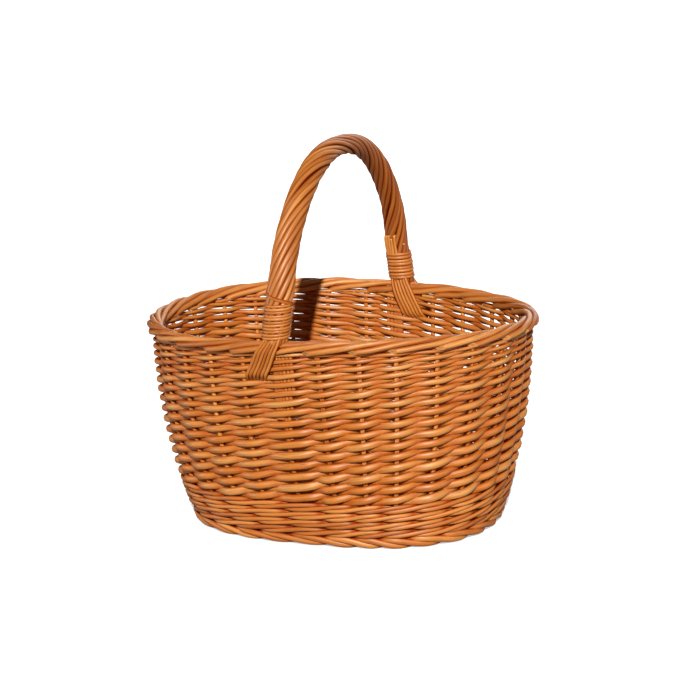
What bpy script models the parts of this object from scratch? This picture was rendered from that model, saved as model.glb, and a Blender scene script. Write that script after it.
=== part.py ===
"""Oval willow market basket with a fixed roped handle.

Frame: metres, +Z up, origin on the floor under the middle of the basket.
+X runs along the oval, +Y across it. The handle stands over the short axis,
so its feet are at -Y (the "near" foot) and at +Y (the "far" foot).
"""

import math

import bmesh
import bpy
import numpy as np
from mathutils import Vector

# ---------------------------------------------------------------- driving sizes
RIM_HALF_LENGTH = 0.205
RIM_HALF_WIDTH = 0.170
RIM_SQUARENESS = 2.11
BASE_HALF_LENGTH = 0.1615
BASE_HALF_WIDTH = 0.1155
BASE_SQUARENESS = 2.5
BORDER_HEIGHT = 0.210
BORDER_HALF_THICK = 0.0084
BORDER_HALF_TALL = 0.0081
WALL_THICK = 0.014
WALL_TO_RIM = 0.005
FLARE_LENGTHWISE = 1.77
FLARE_WIDTHWISE = 2.48

STAKE_COUNT = 28
STAKE_RADIUS = 0.0024
CHANNEL_RADIUS = 0.00275
FOOT_STAKE_SHIFT = 0.0075

FOOT_WALE_TOP = 0.012
SIDE_WALE_TOP = 0.050
SIDING_TOP = 0.2012
LOWER_KNEE = 0.095
UPPER_KNEE = 0.135
GAP = 0.0003

STICK_RADIUS = 0.003
STICK_LEVEL = 0.009
LONG_STICK_COUNT = 3
LONG_STICK_SPACING = 0.0075
SHORT_STICK_COUNT = 7
SHORT_STICK_SPACING = 0.030
BASE_WEAVE_LOW = 0.0035
BASE_WEAVE_HIGH = 0.0145
STICK_END_GAP = 0.002
STICK_CLEARANCE = 0.0004
SPLIT_CLEARANCE = 0.0006
SPLIT_SWELLING = 0.003
SPLIT_SHOULDER = 0.003
WEAVE_CLEARANCE = 0.0006
SLATH_SQUARENESS = 6.0
SLATH_MARGIN_LENGTH = 0.020
SLATH_MARGIN_WIDTH = 0.010

HANDLE_HALF_SPAN = 0.162
HANDLE_RISE = 0.1775
HANDLE_SQUARENESS = 2.16
ROPE_RADIUS = 0.01195
BOW_RADIUS = 0.0058
TOP_SLIMNESS = 0.86
TONGUE_HALF_WIDTH = 0.0045
TONGUE_HALF_THICK = 0.0025
TONGUE_END = 0.141
TONGUE_CLEARANCE = 0.0005
BORDER_SLOT_MARGIN = 0.0012
BORDER_SLOT_HALF_DEPTH = 0.0046
BORDER_SLOT_INSET = 0.0018

COLLAR_LOW = 0.2195
NEAR_COLLAR_HIGH = 0.257
FAR_COLLAR_HIGH = 0.248
COLLAR_WALL = 0.0028
COLLAR_FIT = 0.0009
LASHING_THICK = 0.0042
LASHING_CLEARANCE = 0.0006
LASHING_WALL_PLACE = 0.012
TAIL_LENGTH = 0.016

NEAR = -1
FAR = 1

# ---------------------------------------------------------------- materials
BUFF = (0.60, 0.24, 0.07, 1.0)
DARK_BUFF = (0.46, 0.17, 0.05, 1.0)
PALE_BUFF = (0.68, 0.31, 0.11, 1.0)


def material(name, color, roughness):
    """One varnished willow finish."""
    mat = bpy.data.materials.new(name)
    mat.use_nodes = True
    shader = mat.node_tree.nodes["Principled BSDF"]
    shader.inputs["Base Color"].default_value = color
    shader.inputs["Roughness"].default_value = roughness
    shader.inputs["Metallic"].default_value = 0.0
    return mat


# ---------------------------------------------------------------- mesh helpers
def make_object(name, vertices, faces, color, roughness=0.4):
    """Builds one closed mesh with its faces pointing out."""
    mesh = bpy.data.meshes.new(name)
    mesh.from_pydata([tuple(v) for v in vertices], [], faces)
    shell = bmesh.new()
    shell.from_mesh(mesh)
    bmesh.ops.recalc_face_normals(shell, faces=shell.faces)
    shell.to_mesh(mesh)
    shell.free()
    mesh.materials.append(material(name + "_finish", color, roughness))
    piece = bpy.data.objects.new(name, mesh)
    bpy.context.scene.collection.objects.link(piece)
    return piece


def ring_strip(first, second, count):
    """Quads between two rings of vertices given by their first indices."""
    quads = []
    for i in range(count):
        j = (i + 1) % count
        quads.append((first + i, first + j, second + j, second + i))
    return quads


def loft(name, rings, color, roughness=0.4):
    """A solid through a row of rings, closed by a cap at each end."""
    count = len(rings[0])
    vertices = [point for ring in rings for point in ring]
    faces = []
    for k in range(len(rings) - 1):
        faces += ring_strip(k * count, (k + 1) * count, count)
    faces.append(tuple(range(count)))
    faces.append(tuple(range((len(rings) - 1) * count, len(rings) * count)))
    return make_object(name, vertices, faces, color, roughness)


def sleeve(name, outer_rings, inner_rings, color, roughness=0.4):
    """A tube with a bore, open at both ends."""
    count = len(outer_rings[0])
    rings = list(outer_rings) + list(reversed(inner_rings))
    vertices = [point for ring in rings for point in ring]
    faces = []
    for k in range(len(rings)):
        following = (k + 1) % len(rings)
        faces += ring_strip(k * count, following * count, count)
    return make_object(name, vertices, faces, color, roughness)


def closed_ring(name, sections, color, roughness=0.4):
    """A ring that closes on itself, from sections all the way round."""
    count = len(sections[0])
    vertices = [point for section in sections for point in section]
    faces = []
    for k in range(len(sections)):
        following = (k + 1) % len(sections)
        faces += ring_strip(k * count, following * count, count)
    return make_object(name, vertices, faces, color, roughness)


def box_cutter(name, low, high):
    """A hidden box that a Boolean takes away."""
    corners = []
    for x in (low[0], high[0]):
        for y in (low[1], high[1]):
            for z in (low[2], high[2]):
                corners.append((x, y, z))
    faces = [(0, 1, 3, 2), (4, 6, 7, 5), (0, 4, 5, 1), (2, 3, 7, 6), (0, 2, 6, 4), (1, 5, 7, 3)]
    cutter = make_object(name, corners, faces, BUFF)
    cutter.hide_render = True
    cutter.display_type = "WIRE"
    return cutter


def prism_cutter(name, start, end, radius):
    """A hidden six-sided bar that a Boolean takes away."""
    axis = (Vector(end) - Vector(start)).normalized()
    side = Vector((0.0, 0.0, 1.0)).cross(axis)
    up = Vector((0.0, 0.0, 1.0))
    rings = [round_ring(Vector(p), side, up, radius, radius, 6) for p in (start, end)]
    cutter = loft(name, rings, BUFF)
    cutter.hide_render = True
    cutter.display_type = "WIRE"
    return cutter


def subtract(piece, cutter):
    """Takes the cutter out of the piece."""
    cut = piece.modifiers.new("cut_" + cutter.name, "BOOLEAN")
    cut.operation = "DIFFERENCE"
    cut.solver = "EXACT"
    cut.object = cutter


def round_ring(centre, side, up, half_side, half_up, count):
    """Points of an ellipse round a centre, in the plane of side and up."""
    points = []
    for i in range(count):
        angle = 2.0 * math.pi * i / count
        points.append(centre + side * (half_side * math.cos(angle)) + up * (half_up * math.sin(angle)))
    return points


def box_ring(centre, side, up, half_side, half_up, count):
    """Points of a rounded rectangle, in step with round_ring."""
    points = []
    for i in range(count):
        angle = 2.0 * math.pi * i / count
        c = math.cos(angle)
        s = math.sin(angle)
        reach = (abs(c) ** 5 + abs(s) ** 5) ** (-0.2)
        points.append(centre + side * (half_side * reach * c) + up * (half_up * reach * s))
    return points


# ---------------------------------------------------------------- the wall's shape
def wall_oval(height):
    """Half length, half width and squareness of the wall's outer face at a height."""
    t = height / BORDER_HEIGHT
    long_share = 1.0 - (1.0 - t) ** FLARE_LENGTHWISE
    wide_share = 1.0 - (1.0 - t) ** FLARE_WIDTHWISE
    half_length = BASE_HALF_LENGTH + (RIM_HALF_LENGTH - WALL_TO_RIM - BASE_HALF_LENGTH) * long_share
    half_width = BASE_HALF_WIDTH + (RIM_HALF_WIDTH - WALL_TO_RIM - BASE_HALF_WIDTH) * wide_share
    squareness = BASE_SQUARENESS + (RIM_SQUARENESS - BASE_SQUARENESS) * t
    return half_length, half_width, squareness


def oval_point(angle, half_length, half_width, squareness):
    """A point of an oval in the XY plane, at a polar angle."""
    c = math.cos(angle)
    s = math.sin(angle)
    reach = (abs(c / half_length) ** squareness + abs(s / half_width) ** squareness) ** (-1.0 / squareness)
    return reach * c, reach * s


def even_angles(height, inset, count):
    """Polar angles that split the oval at a height into equal lengths, from the near foot round."""
    half_length, half_width, squareness = wall_oval(height)
    samples = np.linspace(-0.5 * math.pi, 1.5 * math.pi, 1441)
    points = [oval_point(a, half_length - inset, half_width - inset, squareness) for a in samples]
    steps = np.hypot(*np.diff(np.array(points), axis=0).T)
    lengths = np.concatenate(([0.0], np.cumsum(steps)))
    return np.interp(np.arange(count) / count * lengths[-1], lengths, samples)


def wall_point(angle, height, inset):
    """A point of the wall at a polar angle, moved in from the outer face."""
    half_length, half_width, squareness = wall_oval(height)
    x, y = oval_point(angle, half_length - inset, half_width - inset, squareness)
    return Vector((x, y, height))


def is_foot(index):
    """Whether a stake stands beside a foot of the handle."""
    return index % (STAKE_COUNT // 2) == 0


def stake_frame(index, height):
    """Centre of a stake's place in the wall, with the directions along the wall and out of it."""
    angle = even_angles(height, 0.5 * WALL_THICK, STAKE_COUNT)[index]
    centre = wall_point(angle, height, 0.5 * WALL_THICK)
    step = 0.01
    ahead = wall_point(angle + step, height, 0.5 * WALL_THICK)
    behind = wall_point(angle - step, height, 0.5 * WALL_THICK)
    along = (ahead - behind).normalized()
    outward = Vector((along.y, -along.x, 0.0))
    return centre, along, outward


def stake_ring(index, height, radius):
    """Six points round a stake, the first straight outward."""
    centre, along, outward = stake_frame(index, height)
    if is_foot(index):
        centre = centre - along * FOOT_STAKE_SHIFT
    return round_ring(centre, outward, along, radius, radius, 6)


def channel_ring(index, height):
    """Six points round a stake's channel, wide enough for the bow's tongue at a foot."""
    if not is_foot(index) or height <= SIDE_WALE_TOP:
        return stake_ring(index, height, CHANNEL_RADIUS)
    centre, along, outward = stake_frame(index, height)
    ahead = TONGUE_HALF_WIDTH + TONGUE_CLEARANCE
    behind = -FOOT_STAKE_SHIFT - CHANNEL_RADIUS
    middle = 0.5 * (ahead + behind)
    depth = TONGUE_HALF_THICK + TONGUE_CLEARANCE
    outer_spots = [(depth, middle), (depth, ahead)]
    inner_spots = [(-depth, ahead), (-depth, middle), (-depth, behind)]
    spots = outer_spots + inner_spots + [(depth, behind)]
    return [centre + outward * out + along * on for out, on in spots]


def wall_band(name, heights, color):
    """A band of the wall between its faces, with a channel for each stake right through it."""
    vertices = []
    for height in heights:
        edges = even_angles(height, 0.5 * WALL_THICK, 2 * STAKE_COUNT)
        for k in range(STAKE_COUNT):
            edge = edges[(2 * k - 1) % (2 * STAKE_COUNT)]
            middle = edges[2 * k]
            vertices.append(wall_point(edge, height, 0.0))
            vertices.append(wall_point(middle, height, 0.0))
            vertices.append(wall_point(edge, height, WALL_THICK))
            vertices.append(wall_point(middle, height, WALL_THICK))
            vertices += channel_ring(k, height)
    return band_object(name, vertices, len(heights), color)


def band_object(name, vertices, level_count, color):
    """Joins a wall band's levels: both faces, the channels and the two ends."""
    faces = []
    cell = 10
    per_level = STAKE_COUNT * cell

    def spot(level, stake, item):
        return level * per_level + (stake % STAKE_COUNT) * cell + item

    for level in range(level_count - 1):
        for k in range(STAKE_COUNT):
            for stake_a, item_a, stake_b, item_b in (
                (k, 0, k, 1),
                (k, 1, k + 1, 0),
                (k, 2, k, 3),
                (k, 3, k + 1, 2),
            ):
                low_a = spot(level, stake_a, item_a)
                low_b = spot(level, stake_b, item_b)
                faces.append((low_a, low_b, low_b + per_level, low_a + per_level))
            for i in range(6):
                low_a = spot(level, k, 4 + i)
                low_b = spot(level, k, 4 + (i + 1) % 6)
                faces.append((low_a, low_b, low_b + per_level, low_a + per_level))
    for level in (0, level_count - 1):
        for k in range(STAKE_COUNT):
            ring = [spot(level, k, 4 + i) for i in range(6)]
            outer_a = spot(level, k, 0)
            outer_m = spot(level, k, 1)
            outer_b = spot(level, k + 1, 0)
            inner_a = spot(level, k, 2)
            inner_m = spot(level, k, 3)
            inner_b = spot(level, k + 1, 2)
            faces.append((outer_a, outer_m, ring[0], ring[5]))
            faces.append((outer_m, outer_b, ring[1], ring[0]))
            faces.append((outer_b, inner_b, ring[2], ring[1]))
            faces.append((inner_b, inner_m, ring[3], ring[2]))
            faces.append((inner_m, inner_a, ring[4], ring[3]))
            faces.append((inner_a, outer_a, ring[5], ring[4]))
    return make_object(name, vertices, faces, color)


# ---------------------------------------------------------------- base
def base_stick_reach(offset, lengthwise):
    """How far a base stick runs from the middle before it meets the wall."""
    half_length, half_width, squareness = wall_oval(BASE_WEAVE_LOW)
    along = half_length - WALL_THICK
    across = half_width - WALL_THICK
    if not lengthwise:
        along, across = across, along
    reach = along * (1.0 - (abs(offset) / across) ** squareness) ** (1.0 / squareness)
    return reach - STICK_END_GAP


def base_sticks():
    """Long sticks threaded through the split middles of the short ones."""
    cutters = []
    up = Vector((0.0, 0.0, 1.0))
    for k in range(LONG_STICK_COUNT):
        y = (k - 0.5 * (LONG_STICK_COUNT - 1)) * LONG_STICK_SPACING
        reach = base_stick_reach(y, True)
        ends = [Vector((side * reach, y, STICK_LEVEL)) for side in (-1, 1)]
        rings = [round_ring(p, Vector((0.0, 1.0, 0.0)), up, STICK_RADIUS, STICK_RADIUS, 6) for p in ends]
        loft("base_long_stick_%d" % (k + 1), rings, DARK_BUFF, 0.5)
        start = (-1.1 * reach, y, STICK_LEVEL)
        end = (1.1 * reach, y, STICK_LEVEL)
        tunnel = prism_cutter("long_tunnel_%d" % (k + 1), start, end, STICK_RADIUS + STICK_CLEARANCE)
        cutters.append(tunnel)
    slot_half = 0.5 * (LONG_STICK_COUNT - 1) * LONG_STICK_SPACING + STICK_RADIUS + SPLIT_CLEARANCE
    for k in range(SHORT_STICK_COUNT):
        x = (k - 0.5 * (SHORT_STICK_COUNT - 1)) * SHORT_STICK_SPACING
        stick = short_stick("base_short_stick_%d" % (k + 1), x, slot_half)
        slot_low = (x - 0.01, -slot_half, STICK_LEVEL - STICK_RADIUS - GAP)
        slot_high = (x + 0.01, slot_half, STICK_LEVEL + STICK_RADIUS + GAP)
        subtract(stick, box_cutter("split_%d" % (k + 1), slot_low, slot_high))
        reach = base_stick_reach(x, False) * 1.15
        start = (x, -reach, STICK_LEVEL)
        end = (x, reach, STICK_LEVEL)
        tunnel = prism_cutter("short_tunnel_%d" % (k + 1), start, end, STICK_RADIUS + STICK_CLEARANCE)
        cutters.append(tunnel)
    return cutters


def short_stick(name, x, slot_half):
    """A short stick, thick round the split that the long sticks pass through."""
    up = Vector((0.0, 0.0, 1.0))
    across = Vector((1.0, 0.0, 0.0))
    reach = base_stick_reach(x, False)
    swollen = STICK_RADIUS + SPLIT_SWELLING
    shoulder = slot_half + SPLIT_SHOULDER
    rings = []
    for y in (-reach, -shoulder, -slot_half, slot_half, shoulder, reach):
        centre = Vector((x, y, STICK_LEVEL))
        half_up = swollen if abs(y) <= slot_half else STICK_RADIUS
        rings.append(round_ring(centre, across, up, STICK_RADIUS, half_up, 6))
    return loft(name, rings, DARK_BUFF, 0.5)


def base_weave(cutters):
    """The woven oval mat round the crossed sticks, with a tunnel for every stick end."""
    slath_length = 0.5 * (SHORT_STICK_COUNT - 1) * SHORT_STICK_SPACING + SLATH_MARGIN_LENGTH
    slath_width = 0.5 * (LONG_STICK_COUNT - 1) * LONG_STICK_SPACING + SLATH_MARGIN_WIDTH
    sections = []
    for angle in even_angles(BASE_WEAVE_LOW, WALL_THICK, 2 * STAKE_COUNT):
        section = []
        for height in (BASE_WEAVE_LOW, BASE_WEAVE_HIGH):
            section.append(wall_point(angle, height, WALL_THICK + WEAVE_CLEARANCE))
        for height in (BASE_WEAVE_HIGH, BASE_WEAVE_LOW):
            x, y = oval_point(angle, slath_length, slath_width, SLATH_SQUARENESS)
            section.append(Vector((x, y, height)))
        sections.append(section)
    mat = closed_ring("base_weave", sections, BUFF, 0.45)
    for cutter in cutters:
        subtract(mat, cutter)


# ---------------------------------------------------------------- wall pieces
def foot_wale():
    """The first round of waling, which the basket stands on."""
    sections = []
    for angle in even_angles(0.0, 0.5 * WALL_THICK, 2 * STAKE_COUNT):
        section = [wall_point(angle, 0.0, 0.001)]
        section.append(wall_point(angle, FOOT_WALE_TOP - 0.002, 0.0))
        section.append(wall_point(angle, FOOT_WALE_TOP, 0.001))
        section.append(wall_point(angle, FOOT_WALE_TOP, WALL_THICK))
        section.append(wall_point(angle, 0.0, WALL_THICK - 0.001))
        sections.append(section)
    return closed_ring("foot_wale", sections, DARK_BUFF)


def stakes():
    """The upright stakes, from the foot wale to the border."""
    heights = [FOOT_WALE_TOP + 2 * GAP, SIDE_WALE_TOP + 0.5 * GAP, LOWER_KNEE, UPPER_KNEE]
    heights.append(SIDING_TOP + 2 * GAP)
    for k in range(STAKE_COUNT):
        rings = [stake_ring(k, height, STAKE_RADIUS) for height in heights]
        loft("stake_%02d" % (k + 1), rings, PALE_BUFF)


def border():
    """The rolled border, with a slot at each foot for the bow's tongue."""
    sections = []
    half_length = RIM_HALF_LENGTH - BORDER_HALF_THICK
    half_width = RIM_HALF_WIDTH - BORDER_HALF_THICK
    sides = 8
    corner = math.cos(math.pi / sides)
    for angle in even_angles(BORDER_HEIGHT, 0.0, 2 * STAKE_COUNT):
        section = []
        for i in range(sides):
            turn = 2.0 * math.pi * (i + 0.5) / sides
            grow = BORDER_HALF_THICK * math.cos(turn) / corner
            x, y = oval_point(angle, half_length + grow, half_width + grow, RIM_SQUARENESS)
            height = BORDER_HEIGHT + BORDER_HALF_TALL * math.sin(turn) / corner
            section.append(Vector((x, y, height)))
        sections.append(section)
    ring = closed_ring("border", sections, BUFF)
    for side, label in ((NEAR, "near"), (FAR, "far")):
        middle = side * (HANDLE_HALF_SPAN - BORDER_SLOT_INSET)
        half_x = TONGUE_HALF_WIDTH + BORDER_SLOT_MARGIN
        low = (-half_x, middle - BORDER_SLOT_HALF_DEPTH, BORDER_HEIGHT - 0.02)
        high = (half_x, middle + BORDER_SLOT_HALF_DEPTH, BORDER_HEIGHT + 0.02)
        subtract(ring, box_cutter("border_slot_" + label, low, high))


# ---------------------------------------------------------------- handle
def handle_point(turn):
    """Centre line of the handle: turn 0 is the near foot and pi is the far foot."""
    power = 2.0 / HANDLE_SQUARENESS
    c = math.cos(turn)
    y = -HANDLE_HALF_SPAN * math.copysign(abs(c) ** power, c)
    z = BORDER_HEIGHT + HANDLE_RISE * abs(math.sin(turn)) ** power
    return Vector((0.0, y, z))


def handle_turn(height):
    """The turn at which the near leg passes a height."""
    return math.asin(((height - BORDER_HEIGHT) / HANDLE_RISE) ** (0.5 * HANDLE_SQUARENESS))


def handle_stations(count):
    """Turns evenly spaced along the handle, between the tops of the border's two sides."""
    low = handle_turn(BORDER_HEIGHT + BORDER_HALF_TALL + 0.0015)
    samples = np.linspace(low, math.pi - low, 721)
    points = np.array([handle_point(t) for t in samples])
    lengths = np.concatenate(([0.0], np.cumsum(np.linalg.norm(np.diff(points, axis=0), axis=1))))
    return np.interp(np.linspace(0.0, lengths[-1], count), lengths, samples)


def handle_frame(turn):
    """Centre, sideways direction and outward direction of the handle at a turn."""
    step = 0.004
    along = (handle_point(turn + step) - handle_point(max(turn - step, 0.0))).normalized()
    side = Vector((1.0, 0.0, 0.0))
    return handle_point(turn), side, side.cross(along)


def slimness(turn):
    """How much slimmer the handle is at a turn than at its feet."""
    return 1.0 - (1.0 - TOP_SLIMNESS) * math.sin(turn) ** 2


def tongue_ring(side, height):
    """The shaved end of the bow inside the wall, beside the foot's stake."""
    index = 0 if side == NEAR else STAKE_COUNT // 2
    low, _, _ = stake_frame(index, UPPER_KNEE)
    high, _, _ = stake_frame(index, SIDING_TOP)
    share = (height - UPPER_KNEE) / (SIDING_TOP - UPPER_KNEE)
    centre = low.lerp(high, share)
    across = Vector((1.0, 0.0, 0.0))
    return box_ring(centre, across, Vector((0.0, 1.0, 0.0)), TONGUE_HALF_WIDTH, TONGUE_HALF_THICK, 8)


def flip_far(ring):
    """Puts a far tongue's points in step with the bow's."""
    return [ring[(-i) % len(ring)] for i in range(len(ring))]


def handle_bow():
    """The bent rod inside the handle, with both ends shaved to tongues in the wall."""
    levels = (TONGUE_END, SIDING_TOP, BORDER_HEIGHT + BORDER_HALF_TALL)
    rings = [flip_far(tongue_ring(NEAR, z)) for z in levels]
    for turn in handle_stations(25):
        centre, side, out = handle_frame(turn)
        radius = BOW_RADIUS * slimness(turn)
        rings.append(round_ring(centre, side, out, radius, radius, 8))
    rings += [tongue_ring(FAR, z) for z in reversed(levels)]
    return loft("handle_bow", rings, DARK_BUFF)


def handle_roping():
    """The rods twisted round the bow, as one sleeve of their outer size."""
    outer = []
    inner = []
    for turn in handle_stations(25):
        centre, side, out = handle_frame(turn)
        slim = slimness(turn)
        outer.append(round_ring(centre, side, out, ROPE_RADIUS * slim, ROPE_RADIUS * slim, 10))
        bore = (BOW_RADIUS * slim + GAP) / math.cos(math.pi / 10)
        inner.append(round_ring(centre, side, out, bore, bore, 10))
    return sleeve("handle_roping", outer, inner, BUFF)


def leg_frame(side, height):
    """Centre of a leg at a height, with its inward direction."""
    centre = handle_point(handle_turn(height))
    if side == FAR:
        centre.y = -centre.y
    return centre, Vector((0.0, -side, 0.0))


def collar(name, side, top):
    """The bound collar round a leg and the lashing rods on its inner face."""
    across = Vector((1.0, 0.0, 0.0))
    half_x = ROPE_RADIUS + COLLAR_FIT
    half_y = ROPE_RADIUS + 0.5 * LASHING_THICK + 0.0016
    shift = 0.5 * LASHING_THICK + 0.0004
    outer = []
    inner = []
    for share in (0.0, 0.5, 1.0):
        height = COLLAR_LOW + (top - COLLAR_LOW) * share
        centre, inward = leg_frame(side, height)
        centre = centre + inward * shift
        swell = COLLAR_WALL - 0.0004 * abs(2 * share - 1)
        outer.append(box_ring(centre, across, inward, half_x + swell, half_y + swell, 16))
        inner.append(box_ring(centre, across, inward, half_x, half_y, 16))
    return sleeve(name, outer, inner, PALE_BUFF)


def strap(name, stations):
    """Rods lying side by side, as one flat bar through (centre, half width) stations facing Y."""
    rings = []
    for centre, half_width in stations:
        half = 0.5 * LASHING_THICK
        spots = [(-half_width, -half), (half_width, -half), (half_width, half), (-half_width, half)]
        rings.append([Vector(centre) + Vector((x, y, 0.0)) for x, y in spots])
    return loft(name, rings, BUFF)


def lashing(label, side, collar_top):
    """The rods that come down from the collar on both faces of the wall and go through it."""
    lean = side
    border_middle = RIM_HALF_WIDTH - BORDER_HALF_THICK
    stand_off = 0.5 * LASHING_THICK + LASHING_CLEARANCE
    wall_low = 0.181

    def wall_face(x, height, inset):
        half_length, half_width, squareness = wall_oval(height)
        share = 1.0 - (abs(x) / (half_length - inset)) ** squareness
        return (half_width - inset) * share ** (1.0 / squareness)

    outer = []
    start = (0.009, COLLAR_LOW - LASHING_CLEARANCE)
    for x, height in (start, (0.0125, 0.210), (0.017, 0.200), (0.022, 0.190), (0.026, wall_low)):
        if height > 0.195:
            out = border_middle + BORDER_HALF_THICK + stand_off
        else:
            out = wall_face(x - LASHING_WALL_PLACE, height, 0.0) + stand_off
        outer.append(((lean * x, side * out, height), 0.0095 + 0.0025 * (COLLAR_LOW - height) / 0.04))
    strap(label + "_outer_lashing", outer)

    inner = []
    for x, height in ((0.023, wall_low - 0.003), (0.018, 0.190), (0.012, 0.200), (0.007, 0.210)):
        back = border_middle - BORDER_HALF_THICK - stand_off
        if height < BORDER_HEIGHT:
            back = min(back, wall_face(x + LASHING_WALL_PLACE, height, WALL_THICK) - stand_off - 0.001)
        inner.append(((lean * x, side * back, height), 0.0105))
    for height in (COLLAR_LOW, 0.5 * (COLLAR_LOW + collar_top), collar_top, collar_top + TAIL_LENGTH):
        centre, inward = leg_frame(side, height)
        back = centre + inward * (ROPE_RADIUS + stand_off)
        inner.append(((0.0, back.y, height), 0.0080))
    strap(label + "_inner_lashing", inner)


def clear_scene():
    """Removes whatever the scene holds."""
    for thing in list(bpy.data.objects):
        bpy.data.objects.remove(thing, do_unlink=True)


def build():
    """Makes every piece of the basket."""
    clear_scene()
    tunnels = base_sticks()
    base_weave(tunnels)
    foot_wale()
    stakes()
    wall_band("side_wale", (FOOT_WALE_TOP + GAP, SIDE_WALE_TOP), DARK_BUFF)
    wall_band("siding", (SIDE_WALE_TOP + GAP, LOWER_KNEE, UPPER_KNEE, SIDING_TOP), BUFF)
    border()
    handle_bow()
    handle_roping()
    collar("near_collar", NEAR, NEAR_COLLAR_HIGH)
    collar("far_collar", FAR, FAR_COLLAR_HIGH)
    lashing("near", NEAR, NEAR_COLLAR_HIGH)
    lashing("far", FAR, FAR_COLLAR_HIGH)


build()
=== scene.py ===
"""Woven market basket: the looks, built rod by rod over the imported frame. Metres, Z up, basket standing on Z = 0."""

import math

import bpy
import numpy as np
from mathutils import Matrix


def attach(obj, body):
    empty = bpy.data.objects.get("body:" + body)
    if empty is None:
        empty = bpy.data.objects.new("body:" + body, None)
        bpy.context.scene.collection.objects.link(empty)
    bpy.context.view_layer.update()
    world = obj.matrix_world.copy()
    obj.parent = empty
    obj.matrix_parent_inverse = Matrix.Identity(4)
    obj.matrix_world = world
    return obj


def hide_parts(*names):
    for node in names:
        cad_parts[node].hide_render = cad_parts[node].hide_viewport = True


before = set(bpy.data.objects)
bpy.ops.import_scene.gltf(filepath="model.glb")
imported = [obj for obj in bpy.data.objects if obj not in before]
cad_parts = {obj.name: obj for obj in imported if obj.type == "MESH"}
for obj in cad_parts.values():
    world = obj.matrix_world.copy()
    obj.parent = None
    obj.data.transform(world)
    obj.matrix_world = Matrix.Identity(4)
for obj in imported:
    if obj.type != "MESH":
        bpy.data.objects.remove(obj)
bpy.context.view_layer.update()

# ---------------------------------------------------------------- sizes of the whole, as in the CAD

RIM_HALF_LENGTH = 0.205
RIM_HALF_WIDTH = 0.170
RIM_SQUARENESS = 2.11
BASE_HALF_LENGTH = 0.1615
BASE_HALF_WIDTH = 0.1155
BASE_SQUARENESS = 2.5
BORDER_HEIGHT = 0.210
BORDER_HALF_THICK = 0.0084
WALL_THICK = 0.014
WALL_TO_RIM = 0.005
FLARE_LENGTHWISE = 1.77
FLARE_WIDTHWISE = 2.48
STAKE_COUNT = 28
FOOT_WALE_TOP = 0.012
SIDE_WALE_TOP = 0.050
HANDLE_HALF_SPAN = 0.162
HANDLE_RISE = 0.1775
HANDLE_SQUARENESS = 2.16
ROPE_RADIUS = 0.01195
TOP_SLIMNESS = 0.86
COLLAR_LOW = 0.2195
NEAR_COLLAR_HIGH = 0.257
FAR_COLLAR_HIGH = 0.253  # 5 mm over the CAD's, as in the photo
NEAR = -1
FAR = 1

# ---------------------------------------------------------------- sizes of single rods

RANDING_ROUNDS = 15
FIRST_ROUND = 0.0555  # height of the lowest stroke's middle
LOWEST_STROKE = SIDE_WALE_TOP + 0.0018
HIGHEST_STROKE = 0.2045  # under the border, where the rods' tips end
STROKE_START = -1.32  # where a rod's thick end is tucked in, in stakes from its own
SIDE_GAP = 0.038  # about the distance from one stake to the next, round the sides
FOOT_GAP = 0.035  # and round the foot
STROKE_DEPTH = 0.72  # a stroke's thickness through the wall, as a share of its height
FACE_INSET = 0.0008  # how far inside the wall's outer face the strokes end
RINGS_PER_GAP = 10  # rings of a woven rod from one stake to the next
SIDE_WALE_ROUNDS = 4
WALE_ROD = 0.0023
FOOT_WALE_ROD = 0.0032

STAKE_RADIUS = 0.0023  # the CAD's are 0.1 mm thicker
STAKE_FOOT = 0.0095
STAKE_HEAD = 0.2035
TONGUE_HEIGHT = 0.0065  # of the stakes' lower ends, which run in under the base
TONGUE_LENGTH = 0.052
TONGUE_BEND = 0.004
FOOT_STAKES = (0, 14)  # the ones at the handle's feet
FOOT_PLACES = (0.0, 0.11, 0.21, 0.31)  # uprights in one group at a handle's foot, in stakes from the first
FOOT_ROD = 0.0021
FOOT_ROD_STARTS = (0.118, 0.147, 0.165)
FOOT_ROD_TOP = 0.214

BORDER_ROD = 0.0030
BORDER_RING = 0.0054  # from the border's middle line to a strand's
BORDER_TWIST = math.radians(66)  # turn round that line for each stake passed
BORDER_START = math.radians(38)
BORDER_SPAN = 4.25  # stakes that a strand passes before its end is cut
BORDER_CUT = 0.010
BORDER_RISE = (0.1975, 0.2030)  # heights of a stake's last upright stretch
BORDER_BEND = 0.12  # stakes from its own one at which a strand has bent down

PAIRING_ROD = 0.0017
PAIRING_ROUNDS = 21
PAIRING_INNER = (0.1085, 0.0125, 4.5)  # half length, half width and squareness of the innermost round
PAIRING_OUTER = (0.1520, 0.1060, BASE_SQUARENESS)
PAIRING_HEIGHT = 0.009
PAIRING_LIFT = 0.0043
LONG_STICK_ROWS = (-0.0075, 0.0, 0.0075)
SHORT_STICK_ROWS = tuple(0.030 * k for k in range(-3, 4))

ROPE_ROD = 0.0025
ROPE_RODS = 12
ROPE_PITCH = 0.19
SWELL_PLACES = (0.0, 0.1, 0.4, 0.5, 0.6, 0.8, 1.0)  # shares of the handle's length from the near foot to the far one
LEG_SWELL = (0.0010, 0.0020, 0.0026, 0.0, 0.0014, 0.0010, 0.0007)

TURN_DEPTH = 0.0015  # half thickness of a collar's turn, outwards
NEAR_TURNS = 11
FAR_TURNS = 8

# The near collar's last turn slants down the leg: its rod, where it starts round the leg and how far it goes, how
# far over the collar it starts and how far it comes down.
SLANT_ROD = 0.0019
SLANT_START = math.radians(140)
SLANT_SWEEP = math.radians(260)
SLANT_RISE = 0.0125
SLANT_DROP = 0.0165

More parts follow.
